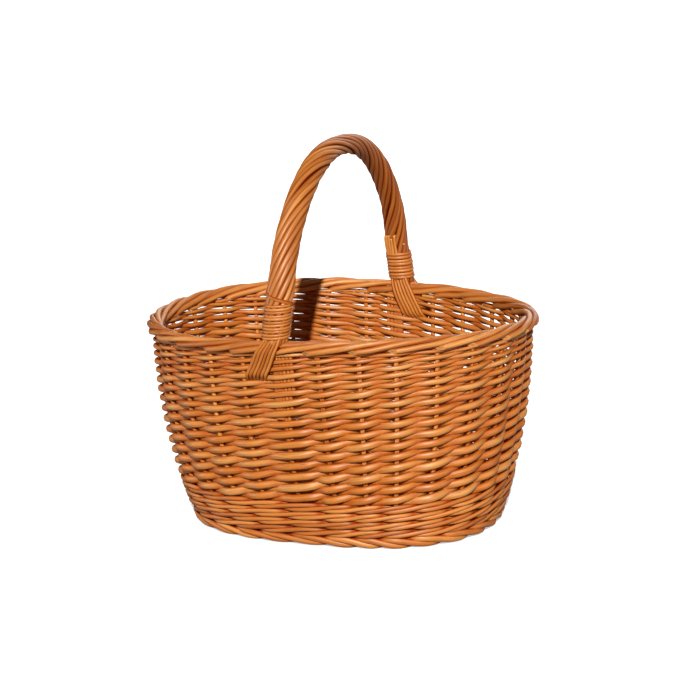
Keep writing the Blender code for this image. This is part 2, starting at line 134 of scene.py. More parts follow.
# A lashing runs from its cut end in the wall up over the border and into the collar. Along that run: the heights, how
# far its middle lies along the rim, how far it stands off the middle of the wall or leg, and its half width at the
# wall, the border and the collar.
OUTER_RUN = ((0.177, 0.183, 0.190, 0.199, 0.2085, 0.2185, 0.228),
             (0.0232, 0.0205, 0.0160, 0.0114, 0.0070, 0.0, -0.0020),
             (0.0, 0.0085, 0.0093, 0.0108, 0.0112, 0.0112, 0.0080),
             (0.0100, 0.0094, 0.0064))
INNER_RUN = ((0.178, 0.184, 0.190, 0.200, 0.210, 0.2185, 0.228),
             (0.0180, 0.0158, 0.0138, 0.0092, 0.0052, 0.0018, -0.0008),
             (0.0, 0.0075, 0.0085, 0.0105, 0.0125, 0.0112, 0.0080),
             (0.0106, 0.0098, 0.0068))
RUN_MIDDLE_HEIGHTS = (0.200, 0.210, 0.228)
RUN_MIDDLES = (0.1575, 0.1590, 0.1616, 0.1616)  # how far out the middle is, at the run's foot and at those heights
RUN_RODS = 6
RUN_ROD_SIZES = (0.0011, 0.0019)

# Cut tails of the lashings that stand up out of the collars: degrees round the leg, anticlockwise from +X.
NEAR_TAILS = (176, 60, 78, 96)
FAR_TAILS = (-138, -122, -107, -93, -77)
TAIL_HEIGHTS = (0.0150, 0.0195)
LONG_TAIL_HEIGHT = 0.034  # the near collar's first
TAIL_ROD = 0.0015
TAIL_CUT = 0.0028
PEG_PLACE = -36  # degrees round the far leg, of a small cut end just over its collar
PEG_ROD = 0.0012
PEG_RUN = (0.009, 0.011, 0.0138)  # from the leg's middle outwards

rng = np.random.default_rng(28)
UP = np.array([0.0, 0.0, 1.0])


# ---------------------------------------------------------------- the wall as a surface

def wall_oval(height):
    """Outer half length, half width and squareness of the wall at a height."""
    t = min(max(height / BORDER_HEIGHT, 0.0), 1.0)
    long_share = 1.0 - (1.0 - t) ** FLARE_LENGTHWISE
    wide_share = 1.0 - (1.0 - t) ** FLARE_WIDTHWISE
    half_length = BASE_HALF_LENGTH + (RIM_HALF_LENGTH - WALL_TO_RIM - BASE_HALF_LENGTH) * long_share
    half_width = BASE_HALF_WIDTH + (RIM_HALF_WIDTH - WALL_TO_RIM - BASE_HALF_WIDTH) * wide_share
    squareness = BASE_SQUARENESS + (RIM_SQUARENESS - BASE_SQUARENESS) * t
    return half_length, half_width, squareness


def even_oval(half_length, half_width, squareness, count):
    """Points at equal arc lengths round an oval, from the near side (-Y) towards +X."""
    angles = np.linspace(-0.5 * math.pi, 1.5 * math.pi, 1441)
    c, s = np.cos(angles), np.sin(angles)
    reach = (np.abs(c / half_length) ** squareness + np.abs(s / half_width) ** squareness) ** (-1.0 / squareness)
    points = np.stack([reach * c, reach * s], 1)
    arc = np.concatenate([[0.0], np.cumsum(np.linalg.norm(np.diff(points, axis=0), axis=1))])
    places = np.linspace(0.0, arc[-1], count + 1)[:-1]
    return np.stack([np.interp(places, arc, points[:, 0]), np.interp(places, arc, points[:, 1])], 1)


PLACES_PER_GAP = 24
LEVELS = np.linspace(0.0, BORDER_HEIGHT, 43)
LOOP_PLACES = STAKE_COUNT * PLACES_PER_GAP


def make_grid():
    """The wall's middle line at each level, with the same number of even places round every one."""
    rows = []
    for level in LEVELS:
        a, b, n = wall_oval(level)
        inset = 0.5 * WALL_THICK
        rows.append(even_oval(a - inset, b - inset, n, LOOP_PLACES))
    return np.array(rows)


GRID = make_grid()
RIM_LINE = even_oval(RIM_HALF_LENGTH - BORDER_HALF_THICK, RIM_HALF_WIDTH - BORDER_HALF_THICK, RIM_SQUARENESS,
                     LOOP_PLACES)


def outward_of(points):
    """Level directions square to a closed line, pointing out."""
    along = np.roll(points, -1, axis=-2) - np.roll(points, 1, axis=-2)
    out = np.stack([along[..., 1], -along[..., 0]], -1)
    return out / np.linalg.norm(out, axis=-1, keepdims=True)


GRID_OUT = outward_of(GRID)
RIM_OUT = outward_of(RIM_LINE)


def on_loop(table, place):
    """Reads a closed table of points at places counted in stakes."""
    count = table.shape[-2]
    spot = (np.asarray(place, float) / STAKE_COUNT * count) % count
    low = np.floor(spot).astype(int) % count
    share = (spot - np.floor(spot))[..., None]
    return table[..., low, :] * (1.0 - share) + table[..., (low + 1) % count, :] * share


def wall(place, height, offset):
    """Points at places (in stakes from the near foot), heights and distances outwards from the wall's middle."""
    place, height, offset = np.broadcast_arrays(place, height, offset)
    row = np.clip(height / LEVELS[-1], 0.0, 1.0) * (len(LEVELS) - 1)
    low = np.minimum(np.floor(row).astype(int), len(LEVELS) - 2)
    share = (row - low)[:, None]
    count = GRID.shape[1]
    spot = (place / STAKE_COUNT * count) % count
    left = np.floor(spot).astype(int) % count
    right = (left + 1) % count
    cross = (spot - np.floor(spot))[:, None]
    flat = (GRID[low, left] * (1 - share) + GRID[low + 1, left] * share) * (1 - cross)
    flat = flat + (GRID[low, right] * (1 - share) + GRID[low + 1, right] * share) * cross
    out = (GRID_OUT[low, left] * (1 - share) + GRID_OUT[low + 1, left] * share) * (1 - cross)
    out = out + (GRID_OUT[low, right] * (1 - share) + GRID_OUT[low + 1, right] * share) * cross
    flat = flat + out * offset[:, None]
    return np.column_stack([flat, height])


# how far each stake's foot and head stand off their even places, in stakes
STAKE_JITTER = rng.uniform(-0.055, 0.055, (2, STAKE_COUNT + 1))
STAKE_JITTER[:, -1] = STAKE_JITTER[:, 0]


def stake_place(index, height):
    """Where stake number index, or a place between stakes, really stands: stakes lean and aren't quite even.
    Those beside the near foot lean the most, all one way."""
    index, height = np.broadcast_arrays(np.asarray(index, float), np.asarray(height, float))
    turn = index % STAKE_COUNT
    rise = np.clip(height / BORDER_HEIGHT, 0.0, 1.0)
    foot = np.interp(turn, np.arange(STAKE_COUNT + 1), STAKE_JITTER[0])
    head = np.interp(turn, np.arange(STAKE_COUNT + 1), STAKE_JITTER[1])
    near = (turn + 0.5 * STAKE_COUNT) % STAKE_COUNT - 0.5 * STAKE_COUNT
    lean = 0.26 * np.exp(-((near - 0.9) / 1.3) ** 2)
    return index + foot * (1.0 - rise) + head * rise + lean * (1.0 - rise)


def unevenness(points):
    """The rim of the real basket isn't level: this lifts and drops the wall by a few millimetres, more the higher."""
    turn = np.arctan2(points[:, 1], points[:, 0])
    share = np.clip(points[:, 2] / BORDER_HEIGHT, 0.0, 1.0)
    lift = -0.9 * np.cos(2 * turn) - 2.9 * np.sin(2 * turn) + 0.8 * np.cos(turn) - 2.3 * np.sin(turn)
    moved = points.copy()
    moved[:, 2] += 0.001 * lift * share
    return moved


def handle_unevenness(points):
    """The handle follows the rim at its feet, and stands a little to one side and a little askew."""
    height = points[:, 2]
    along = points[:, 1] / HANDLE_HALF_SPAN
    lashing = np.clip((height - 0.176) / 0.10, 0.0, 1.0)
    collar_foot = np.clip((0.264 - height) / 0.042, 0.0, 1.0)
    bow = np.clip((height - 0.26) / (0.075 - 0.035 * along), 0.0, 1.0)
    moved = points.copy()
    moved[:, 2] += 0.0009 - 0.0023 * along
    moved[:, 0] += 0.0021 - 0.0011 * along + lashing * (0.0012 - 0.0014 * along)
    moved[:, 0] += along * 0.0032 * collar_foot - 0.0009 * (1.0 + along)
    moved[:, 0] += 0.0028 * bow
    return moved


# ---------------------------------------------------------------- rods

def wander(stations, size, wavelength):
    """A smooth seeded unevenness along a rod."""
    total = np.zeros(len(stations))
    for octave in range(3):
        pace = 2.0 * math.pi / (wavelength / (1.0 + 0.8 * octave) * rng.uniform(0.8, 1.25))
        total += np.sin(stations * pace + rng.uniform(0, 2 * math.pi)) / (1.0 + octave)
    return size * total / 1.4


def sweep_frames(path, closed):
    """Tangents and two side directions along a path, carried along without twisting."""
    if closed:
        tangents = np.roll(path, -1, axis=0) - np.roll(path, 1, axis=0)
    else:
        tangents = np.gradient(path, axis=0)
    tangents = tangents / np.linalg.norm(tangents, axis=1, keepdims=True)
    first = np.cross(tangents[0], UP)
    if np.linalg.norm(first) < 0.2:
        first = np.cross(tangents[0], np.array([1.0, 0.0, 0.0]))
    side = first / np.linalg.norm(first)
    sides = np.empty_like(path)
    for i, tangent in enumerate(tangents):
        side = side - tangent * float(side @ tangent)
        side = side / math.sqrt(float(side @ side))
        sides[i] = side
    others = np.cross(tangents, sides)
    return tangents, sides, others


class Rods:
    """Many rods in one mesh, with what the willow material reads on each: grain, tone, cut ends and painted shade."""

    def __init__(self):
        """Starts with no rods."""
        self.points = []
        self.faces = []
        self.grain = []
        self.tone = []
        self.cut = []
        self.deep = []
        self.flat = []
        self.count = 0

    def ring_faces(self, start, rings, sides, closed):
        """Quads between each ring and the next."""
        steps = rings if closed else rings - 1
        i = np.arange(steps)[:, None]
        j = np.arange(sides)[None, :]
        nxt = (i + 1) % rings
        a = start + i * sides + j
        b = start + i * sides + (j + 1) % sides
        c = start + nxt * sides + (j + 1) % sides
        d = start + nxt * sides + j
        self.faces.extend(np.stack([a, b, c, d], -1).reshape(-1, 4).tolist())
        self.flat.extend([False] * (steps * sides))

    def add(self, path, radius, sides=8, tone=None, squash=None, closed=False, cut_end=None, axes=None, deep=0.0,
            edge=0.55):
        """Sweeps a ring along path. In a rod that never stands up, squash is its level thickness as a share of its
        height. Or axes are its two directions, outwards and across. cut_end is the direction and length of an oblique
        cut. The last two arguments give painted shade: how much lies along the rod, and how much more in the grooves
        beside it."""
        path = np.asarray(path, float)
        radius = np.broadcast_to(np.asarray(radius, float), (len(path),)).copy()
        deep = np.broadcast_to(np.asarray(deep, float), (len(path),)).copy()
        steps = np.linalg.norm(np.diff(path, axis=0), axis=1)
        arc = np.concatenate([[0.0], np.cumsum(steps)])
        if cut_end is not None:
            keep = (arc == arc[-1]) | (arc < arc[-1] - cut_end[1])
            path, radius, arc, deep = path[keep], radius[keep], arc[keep], deep[keep]
            if axes is not None:
                axes = (axes[0][keep], None if axes[1] is None else axes[1][keep])
        tone = rng.uniform(0.0, 1.0) if tone is None else tone
        tone = np.broadcast_to(np.asarray(tone, float), (len(path),))
        tangents, side, other = sweep_frames(path, closed)
        if squash is not None:
            side = np.cross(tangents, UP)
            side /= np.linalg.norm(side, axis=1, keepdims=True)
            other = np.cross(tangents, side)
        if axes is not None:
            side, other = axes
            if other is None:
                other = np.cross(tangents, side)
                other /= np.linalg.norm(other, axis=1, keepdims=True)
        turns = np.linspace(0.0, 2.0 * math.pi, sides, endpoint=False)
        across = 1.0 if squash is None else squash
        spread = side[:, None, :] * (np.cos(turns) * across)[None, :, None]
        spread = spread + other[:, None, :] * np.sin(turns)[None, :, None]
        offset = spread * radius[:, None, None]
        ring = path[:, None, :] + offset
        if cut_end is not None:
            lean = (spread[-1] @ np.asarray(cut_end[0], float) + 1.0) * 0.5
            ring[-1] = ring[-1] - tangents[-1] * (lean * cut_end[1])[:, None]
        shift = rng.uniform(-5.0, 5.0, 3)
        inner = np.stack([np.repeat(arc[:, None], sides, 1),
                          np.cos(turns)[None, :] * radius[:, None],
                          np.sin(turns)[None, :] * radius[:, None]], -1) + shift
        start = self.count
        self.points.append(ring.reshape(-1, 3))
        self.grain.append(inner.reshape(-1, 3))
        self.tone.append(np.repeat(tone, sides))
        self.cut.append(np.zeros(ring.shape[0] * sides))
        # painted shade in the grooves: strongest on the two sides of the rod that meet its neighbours
        groove_shade_mask = edge * (1.0 - np.abs(np.cos(turns))) ** 2
        self.deep.append(np.clip(deep[:, None] + groove_shade_mask[None, :], 0.0, 1.0).reshape(-1))
        self.count += ring.shape[0] * sides
        self.ring_faces(start, ring.shape[0], sides, closed)
        if closed:
            return
        for end in (0, -1):
            middle = ring[end].mean(0)
            cap = np.vstack([ring[end], middle[None, :]])
            begin = self.count
            self.points.append(cap)
            self.grain.append(np.vstack([inner[end], inner[end].mean(0)[None, :]]))
            self.tone.append(np.full(sides + 1, tone[end]))
            self.cut.append(np.concatenate([np.full(sides, 0.75), [1.0]]))
            self.deep.append(np.zeros(sides + 1))
            self.count += sides + 1
            for j in range(sides):
                k = (j + 1) % sides
                face = (begin + k, begin + j, begin + sides) if end == 0 else (begin + j, begin + k, begin + sides)
                self.faces.append(face)
                self.flat.append(True)

    def build(self, name, material, warp=None):
        """One mesh object of all the rods, moved by warp."""
        points = np.vstack(self.points)
        if warp is not None:
            points = warp(points)
        mesh = bpy.data.meshes.new(name)
        mesh.from_pydata(points.tolist(), [], self.faces)
        mesh.polygons.foreach_set("use_smooth", np.logical_not(np.array(self.flat)))
        grain = mesh.attributes.new("grain", "FLOAT_VECTOR", "POINT")
        grain.data.foreach_set("vector", np.vstack(self.grain).astype(np.float32).ravel())
        for label, values in (("tone", self.tone), ("cut", self.cut), ("deep", self.deep)):
            layer = mesh.attributes.new(label, "FLOAT", "POINT")
            layer.data.foreach_set("value", np.concatenate(values).astype(np.float32))
        mesh.materials.append(material)
        mesh.update()
        piece = bpy.data.objects.new(name, mesh)
        bpy.context.scene.collection.objects.link(piece)
        return piece


# ---------------------------------------------------------------- materials

def link(tree, output, socket):
    """Joins a node's output to another's input."""
    tree.links.new(output, socket)


def attribute(tree, name, output="Fac"):
    """One of the values that the rods carry."""
    node = tree.nodes.new("ShaderNodeAttribute")
    node.attribute_name = name
    return node.outputs[output]


def ramp(tree, stops):
    """A colour ramp through (place, colour) stops."""
    node = tree.nodes.new("ShaderNodeValToRGB")
    while len(node.color_ramp.elements) < len(stops):
        node.color_ramp.elements.new(0.5)
    for element, (place, colour) in zip(node.color_ramp.elements, stops):
        element.position = place
        element.color = (*colour, 1.0)
    return node


def math_node(tree, operation, first, second):
    """Arithmetic on two numbers or outputs."""
    node = tree.nodes.new("ShaderNodeMath")
    node.operation = operation
    for socket, value in zip(node.inputs, (first, second)):
        if isinstance(value, (int, float)):
            socket.default_value = value
        else:
            link(tree, value, socket)
    return node.outputs[0]


def stretched(tree, vector, scale):
    """The vector with each of its parts scaled."""
    node = tree.nodes.new("ShaderNodeMapping")
    node.inputs["Scale"].default_value = scale
    link(tree, vector, node.inputs["Vector"])
    return node.outputs["Vector"]


def noise(tree, vector, scale, detail, roughness=0.55):
    """Smooth noise between 0 and 1."""
    node = tree.nodes.new("ShaderNodeTexNoise")
    node.inputs["Scale"].default_value = scale
    node.inputs["Detail"].default_value = detail
    node.inputs["Roughness"].default_value = roughness
    link(tree, vector, node.inputs["Vector"])
    return node.outputs["Fac"]


def mix(tree, kind, factor, first, second):
    """Blends two colours; each value is a number, a colour or an output."""
    node = tree.nodes.new("ShaderNodeMix")
    node.data_type = "RGBA"
    node.blend_type = kind
    for socket, value in ((node.inputs["Factor"], factor), (node.inputs[6], first), (node.inputs[7], second)):
        if isinstance(value, (int, float)):
            socket.default_value = value
        elif isinstance(value, tuple):
            socket.default_value = (*value, 1.0)
        else:
            link(tree, value, socket)
    return node.outputs[2]


def willow(name, dark, middle, light, rough=0.52, coat=0.20, shine=0.7, shade_tint=(0.58, 0.09, 0.012), swept=True):
    """Varnished willow: a tone for each rod from dark to light, streaks and blotches along it, bud scars, painted shade
    in the grooves and pale cut ends. A material that isn't swept goes on CAD pieces, which carry none of the rods'
    values."""
    material = bpy.data.materials.new(name)
    material.use_nodes = True
    tree = material.node_tree
    shader = tree.nodes["Principled BSDF"]
    if swept:
        vector = attribute(tree, "grain", "Vector")
        tone = attribute(tree, "tone")
        cut = attribute(tree, "cut")
        deep = attribute(tree, "deep")
    else:
        coordinates = tree.nodes.new("ShaderNodeTexCoord")
        vector = coordinates.outputs["Object"]
        tone = noise(tree, vector, 6.0, 1.0)
        cut = None
        # CAD pieces carry no shade mask: a quarter of the painted shade tint lies on them all over
        deep = 0.25
    blotch = noise(tree, stretched(tree, vector, (9.0, 90.0, 90.0)), 1.0, 3.0)
    streak = noise(tree, stretched(tree, vector, (38.0, 800.0, 800.0)), 1.0, 3.0, 0.65)
    fibre = noise(tree, stretched(tree, vector, (130.0, 2600.0, 2600.0)), 1.0, 2.0)
    spread = math_node(tree, "MULTIPLY", math_node(tree, "SUBTRACT", blotch, 0.5), 0.9)
    value = math_node(tree, "ADD", tone, spread)
    colours = ramp(tree, ((0.0, dark), (0.5, middle), (1.0, light)))
    link(tree, value, colours.inputs["Fac"])
    streaks = ramp(tree, ((0.30, (0.70, 0.50, 0.32)), (0.50, (1.0, 1.0, 1.0)), (0.74, (1.14, 1.22, 1.30))))
    link(tree, streak, streaks.inputs["Fac"])
    colour = mix(tree, "MULTIPLY", 0.85, colours.outputs["Color"], streaks.outputs["Color"])
    scars = tree.nodes.new("ShaderNodeTexVoronoi")
    scars.inputs["Scale"].default_value = 1.0
    link(tree, stretched(tree, vector, (26.0, 240.0, 240.0)), scars.inputs["Vector"])
    scar = ramp(tree, ((0.05, (0.42, 0.30, 0.22)), (0.13, (1.0, 1.0, 1.0))))
    link(tree, scars.outputs["Distance"], scar.inputs["Fac"])
    colour = mix(tree, "MULTIPLY", 0.8, colour, scar.outputs["Color"])
    if cut is not None:
        pith = ramp(tree, ((0.0, (0.56, 0.21, 0.045)), (0.88, (0.66, 0.28, 0.07)), (1.0, (0.38, 0.13, 0.03))))
        link(tree, cut, pith.inputs["Fac"])
        is_cut = math_node(tree, "GREATER_THAN", cut, 0.4)
        colour = mix(tree, "MIX", is_cut, colour, pith.outputs["Color"])
    # painted shade: the colour darkens towards the shade tint in the grooves and where rods pass behind others
    colour = mix(tree, "MULTIPLY", deep, colour, shade_tint)
    link(tree, colour, shader.inputs["Base Color"])
    roughness = math_node(tree, "ADD", math_node(tree, "MULTIPLY", streak, 0.25), rough - 0.12)
    if cut is not None:
        roughness = math_node(tree, "ADD", roughness, math_node(tree, "MULTIPLY", cut, 0.3))
    link(tree, roughness, shader.inputs["Roughness"])
    if swept:
        # specular and coat fade where the painted shade lies, so the shaded grooves hold no highlight
        open_side = math_node(tree, "SUBTRACT", 1.0, math_node(tree, "MULTIPLY", deep, 1.6))
        open_side = math_node(tree, "MAXIMUM", open_side, 0.06)
        link(tree, math_node(tree, "MULTIPLY", open_side, shine), shader.inputs["Specular IOR Level"])
        link(tree, math_node(tree, "MULTIPLY", open_side, coat), shader.inputs["Coat Weight"])
    else:
        shader.inputs["Specular IOR Level"].default_value = shine
        shader.inputs["Coat Weight"].default_value = coat
    shader.inputs["Coat Roughness"].default_value = 0.38
    shader.inputs["Specular Tint"].default_value = (1.0, 0.95, 0.86, 1.0)
    bump = tree.nodes.new("ShaderNodeBump")
    bump.inputs["Strength"].default_value = 0.35
    bump.inputs["Distance"].default_value = 0.0006
    height = math_node(tree, "ADD", streak, math_node(tree, "MULTIPLY", fibre, 0.5))
    link(tree, height, bump.inputs["Height"])
    link(tree, bump.outputs["Normal"], shader.inputs["Normal"])
    return material


# Tint of the painted shade in the grooves of the bindings and lashings.
BROWN_SHADE_TINT = (0.40, 0.12, 0.04)

WEAVER = willow("weaver", (0.45, 0.118, 0.010), (0.545, 0.176, 0.021), (0.62, 0.290, 0.074), 0.50, 0.32)
WALE = willow("wale_rod", (0.40, 0.098, 0.007), (0.51, 0.154, 0.017), (0.62, 0.235, 0.045))
STAKE = willow("stake", (0.50, 0.150, 0.020), (0.61, 0.215, 0.038), (0.72, 0.300, 0.070))
BORDER = willow("border_rod", (0.40, 0.112, 0.012), (0.53, 0.180, 0.028), (0.65, 0.275, 0.065))
BASE_STICK = willow("base_stick", (0.42, 0.115, 0.012), (0.52, 0.165, 0.024), (0.62, 0.225, 0.044), swept=False)
HANDLE = willow("handle_rod", (0.31, 0.070, 0.005), (0.44, 0.132, 0.016), (0.62, 0.245, 0.052), 0.46, 0.3,
                shade_tint=(0.38, 0.11, 0.04))
BINDING = willow("binding_rod", (0.42, 0.108, 0.008), (0.54, 0.170, 0.020), (0.66, 0.260, 0.050), 0.40, 0.45,
                 shade_tint=BROWN_SHADE_TINT)
LASHING = willow("lashing_rod", (0.38, 0.095, 0.007), (0.52, 0.165, 0.021), (0.64, 0.260, 0.055), 0.55, 0.06, 0.4,
                 shade_tint=BROWN_SHADE_TINT)


def show(rods, name, material, nodes, warp=unevenness):
    """Builds the piece, lets it ride on the basket's one body and take the place of its CAD nodes."""
    piece = rods.build(name, material, warp)
    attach(piece, "root")
    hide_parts(*nodes)
    return piece


# ---------------------------------------------------------------- sides: French randing

def round_height(level):
    """Height of the middle of a stroke, level counted in rounds: thick butts low down, thin tips under the border."""
    return FIRST_ROUND + 0.001 * (11.34 * level + 0.081 * level ** 2 - 0.0119 * level ** 3)


def round_pitch(level):
    """Height from one round to the next: the slope of round_height."""
    return 0.001 * (11.34 + 0.162 * level - 0.0357 * level ** 2)


def sharpened(wave, sharpness=0.86):
    """A cosine wave whose crests are tighter, as where a rod folds over a stake."""
    return np.arcsin(sharpness * wave) / math.asin(sharpness)


def stroke_radius(height):
    """Radius of a randing rod at a height: half its thickness up and down the wall."""
    levels = np.linspace(0.0, RANDING_ROUNDS, 61)
    return np.interp(height, round_height(levels), (0.356 - 0.0034 * levels) * round_pitch(levels))


def middle_shift(height):
    """How far the stakes stand from the wall's middle, so that the strokes end at its outer face."""
    side = stroke_radius(height) * STROKE_DEPTH
    foot = np.clip((np.asarray(height, float) - FOOT_WALE_TOP) / 0.01, 0.0, 1.0)
    wale = (WALE_ROD * foot + FOOT_WALE_ROD * (1.0 - foot)) * STROKE_DEPTH
    share = np.clip((np.asarray(height, float) - SIDE_WALE_TOP + 0.006) / 0.012, 0.0, 1.0)
    thick = side * share + wale * (1.0 - share)
    return 0.5 * WALL_THICK - FACE_INSET - (STAKE_RADIUS + 2.0 * thick)


def over_feet(turn):
    """The wave's phase: each stroke stays outside, or inside, along the whole group of uprights at a foot."""
    turn = np.asarray(turn, float)
    for foot in (-STAKE_COUNT, -14, 0, 14, 28, 42, 56):
        past = turn - foot
        wide = FOOT_PLACES[-1]
        flat = (past > 0.0) & (past <= wide)
        later = (past > wide) & (past < 1.0)
        turn = np.where(flat, foot, np.where(later, foot + (past - wide) / (1.0 - wide), turn))
    return turn


def weave_side():
    """One rod starts behind each stake, and climbs one round for every two stakes that it passes."""
    rods = Rods()
    last = 2 * RANDING_ROUNDS + 1
    for weaver in range(STAKE_COUNT):
        turn = np.arange(STROKE_START, last + 0.3, 1.0 / RINGS_PER_GAP)
        level = 0.5 * turn
        length = turn * SIDE_GAP
        own = rng.uniform(0.95, 1.05)
        height = round_height(level) + wander(length, 0.0004, 0.12) + wander(length, 0.00025, 0.05)
        height = np.clip(height, LOWEST_STROKE, HIGHEST_STROKE)
        radius = stroke_radius(height) * own * (1.0 + wander(length, 0.035, 0.2))
        phase = over_feet(weaver + turn) - weaver
        wave = sharpened(np.cos(math.pi * phase))
        reach = STAKE_RADIUS + radius * STROKE_DEPTH
        offset = middle_shift(height) + reach * 0.98 * wave + wander(length, 0.0003, 0.09)
        place = stake_place(weaver + turn, height)
        # painted shade where the stroke passes through the wall behind the stakes, and in the grooves between rows
        deep = 0.35 * np.clip(1.0 - np.abs(wave) / 0.6, 0.0, 1.0)
        tone = rng.uniform(0.2, 0.85)
        rods.add(wall(place, height, offset), radius, tone=tone, squash=STROKE_DEPTH, deep=deep, edge=0.8)
    return show(rods, "siding_rods", WEAVER, ["siding"])


# ---------------------------------------------------------------- foot: three-rod waling

def wale_round(rods, low, high, radius, sinking, shift):
    """One round: three strokes side by side, each in front of two stakes and behind one, rising or sinking."""
    # the three strokes are one strand that goes round three times, and that strand is three rods end to end
    edges = [shift, shift + 27, shift + 54, shift + 3 * STAKE_COUNT]
    for start, end in zip(edges[:-1], edges[1:]):
        turn = np.arange(start - 0.3, end + 0.35, 1.0 / RINGS_PER_GAP)
        phase = 2.0 * math.pi * (turn - shift) / 3.0
        length = turn * FOOT_GAP
        slope = 0.27 if sinking else -0.27
        share = 0.5 + slope * np.sin(phase)
        thick = radius * (1.0 + wander(length, 0.06, 0.25))
        height = low + (high - low) * share + wander(length, 0.0004, 0.15)
        wave = 0.342 - 1.017 * np.cos(phase) - 0.317 * np.cos(2 * phase) - 0.008 * np.cos(3 * phase)
        offset = (STAKE_RADIUS + thick * STROKE_DEPTH) * 0.97 * wave + wander(length, 0.0003, 0.11)
        offset = offset + middle_shift(0.5 * (low + high))
        place = stake_place(turn, height)
        # painted shade where the stroke passes behind a stake, and in the grooves between rows
        deep = 0.7 * np.clip(1.0 - np.abs(wave) / 0.6, 0.0, 1.0)
        rods.add(wall(place, height, offset), thick, squash=STROKE_DEPTH, deep=deep, edge=1.1)


def weave_foot():
    """The round that the basket stands on, and the rounds of waling above it."""
    foot = Rods()
    wale_round(foot, 0.0011, FOOT_WALE_TOP + 0.0009, FOOT_WALE_ROD, True, 0)
    show(foot, "foot_wale_rods", WALE, ["foot_wale"])
    side = Rods()
    step = (SIDE_WALE_TOP - FOOT_WALE_TOP) / SIDE_WALE_ROUNDS
    for number in range(SIDE_WALE_ROUNDS):
        low = FOOT_WALE_TOP + number * step
        wale_round(side, low, low + step, WALE_ROD, False, number + 1)
    show(side, "side_wale_rods", WALE, ["side_wale"])


# ---------------------------------------------------------------- stakes and border

def stake_line(index, low, high, count):
    """Places and heights along a stake."""
    height = np.linspace(low, high, count)
    return stake_place(index, height), height


def upright_stakes():
    """The stakes from their tongues under the base up to the border, and the rods driven in beside them at the feet."""
    rods = Rods()
    for index in range(STAKE_COUNT):
        place, height = stake_line(index, STAKE_FOOT, STAKE_HEAD, 40)
        upright = wall(place, height, middle_shift(height))
        inward = -upright[0, :2] / np.linalg.norm(upright[0, :2])
        bend = []
        for turn in np.linspace(0.0, 0.5 * math.pi, 6)[1:-1]:
            reach = TONGUE_BEND * (1.0 - math.sin(turn))
            rise = (STAKE_FOOT - TONGUE_HEIGHT) * (1.0 - math.cos(turn))
            bend.append([*(upright[0, :2] + inward * reach), TONGUE_HEIGHT + rise])
        start = upright[0, :2] + inward * TONGUE_LENGTH
        end = upright[0, :2] + inward * TONGUE_BEND
        run = [[*(start + (end - start) * share), TONGUE_HEIGHT] for share in (0.0, 0.25, 0.5, 0.75, 1.0)]
        path = np.vstack([run, bend, upright])
        radius = STAKE_RADIUS * np.linspace(1.08, 0.98, len(path))
        rods.add(path, radius)
    for foot in FOOT_STAKES:
        for along, low in zip(FOOT_PLACES[1:], FOOT_ROD_STARTS):
            place, height = stake_line(foot, low, FOOT_ROD_TOP, 14)
            path = wall(place + along, height, middle_shift(height))
            rods.add(path, FOOT_ROD, tone=0.1)
    nodes = [f"stake_{number:02d}" for number in range(1, STAKE_COUNT + 1)]
    return show(rods, "upright_stakes", STAKE, nodes)


def border_strands():
    """The top of each stake bends down and winds round the rim past four others, to a cut end under the border."""
    rods = Rods()
    for index in range(STAKE_COUNT):
        base = stake_place(index, BORDER_HEIGHT)
        span = BORDER_SPAN + rng.uniform(-0.12, 0.12)
        travel = np.linspace(BORDER_BEND, span, 70)
        turn = BORDER_START + BORDER_TWIST * travel + wander(travel, 0.10, 2.5)
        ring = BORDER_RING + wander(travel, 0.0005, 2.0)
        ring = ring - 0.0004 * np.clip((travel - span + 0.6) / 0.6, 0.0, 1.0)
        place = base - travel
        centre = on_loop(RIM_LINE, place)
        out = on_loop(RIM_OUT, place)
        flat = centre - out * (ring * np.sin(turn))[:, None]
        height = BORDER_HEIGHT - ring * np.cos(turn) * 0.96
        strand = np.column_stack([flat, height])
        rise_place, rise_height = stake_line(index, *BORDER_RISE, 3)
        rise = wall(rise_place, rise_height, middle_shift(rise_height))
        path = np.vstack([rise, strand])
        smooth = path.copy()
        for _ in range(3):
            smooth[1:-1] = 0.25 * smooth[:-2] + 0.5 * smooth[1:-1] + 0.25 * smooth[2:]
        middle = on_loop(RIM_LINE, np.concatenate([rise_place, place]))
        facing = smooth - np.column_stack([middle, np.full(len(path), BORDER_HEIGHT)])
        facing = facing / np.linalg.norm(facing, axis=1, keepdims=True)
        radius = BORDER_ROD * np.linspace(1.03, 0.93, len(path)) * rng.uniform(0.92, 1.08)
        end_out = np.array([*out[-1], 0.0]) * 0.8 + np.array([0.0, 0.0, -0.35])
        end_out = end_out / np.linalg.norm(end_out)
        rods.add(smooth, radius, sides=12, cut_end=(end_out, BORDER_CUT), axes=(facing, None))
    places = np.linspace(0.0, STAKE_COUNT, 5 * STAKE_COUNT, endpoint=False)
    core = np.column_stack([on_loop(RIM_LINE, places), np.full(len(places), BORDER_HEIGHT)])
    rods.add(core, BORDER_ROD, closed=True, tone=0.2)
    return show(rods, "border_strands", BORDER, ["border"])


# ---------------------------------------------------------------- base

